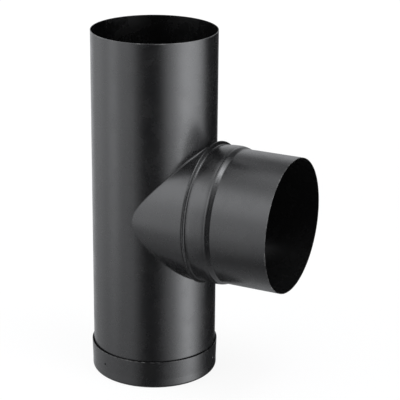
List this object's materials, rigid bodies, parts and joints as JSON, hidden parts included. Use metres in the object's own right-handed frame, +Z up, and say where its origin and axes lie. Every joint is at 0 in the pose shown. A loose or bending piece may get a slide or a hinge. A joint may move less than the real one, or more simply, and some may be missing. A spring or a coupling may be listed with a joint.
{
  "type": "stove pipe tee",
  "caption": "Single-wall black steel flue tee: upright pipe with a side socket on a flared saddle collar and a pull-off cap closing the foot.",
  "frame": {"origin": "centre of the end cap's flat base, on the axis of the upright pipe, the cap pushed home", "axes": "+Z up the upright pipe, +X out along the branch"},
  "size_m": [0.2582, 0.1704, 0.425],
  "materials": {
    "pipe_paint": "satin black heat-resistant paint",
    "collar_paint": "satin black heat-resistant paint",
    "socket_paint": "satin black heat-resistant paint",
    "cap_paint": "satin black heat-resistant paint"
  },
  "bodies": {
    "tee_body": {"main_pipe": "pipe_paint", "saddle_collar": "collar_paint", "branch_socket": "socket_paint"},
    "cap_body": {"end_cap": "cap_paint"}
  },
  "joints": [
    {"name": "cap_pull", "type": "slide", "parent": "tee_body", "child": "cap_body", "axis": [0, 0, -1], "range_m": [0, 0.05]}
  ]
}
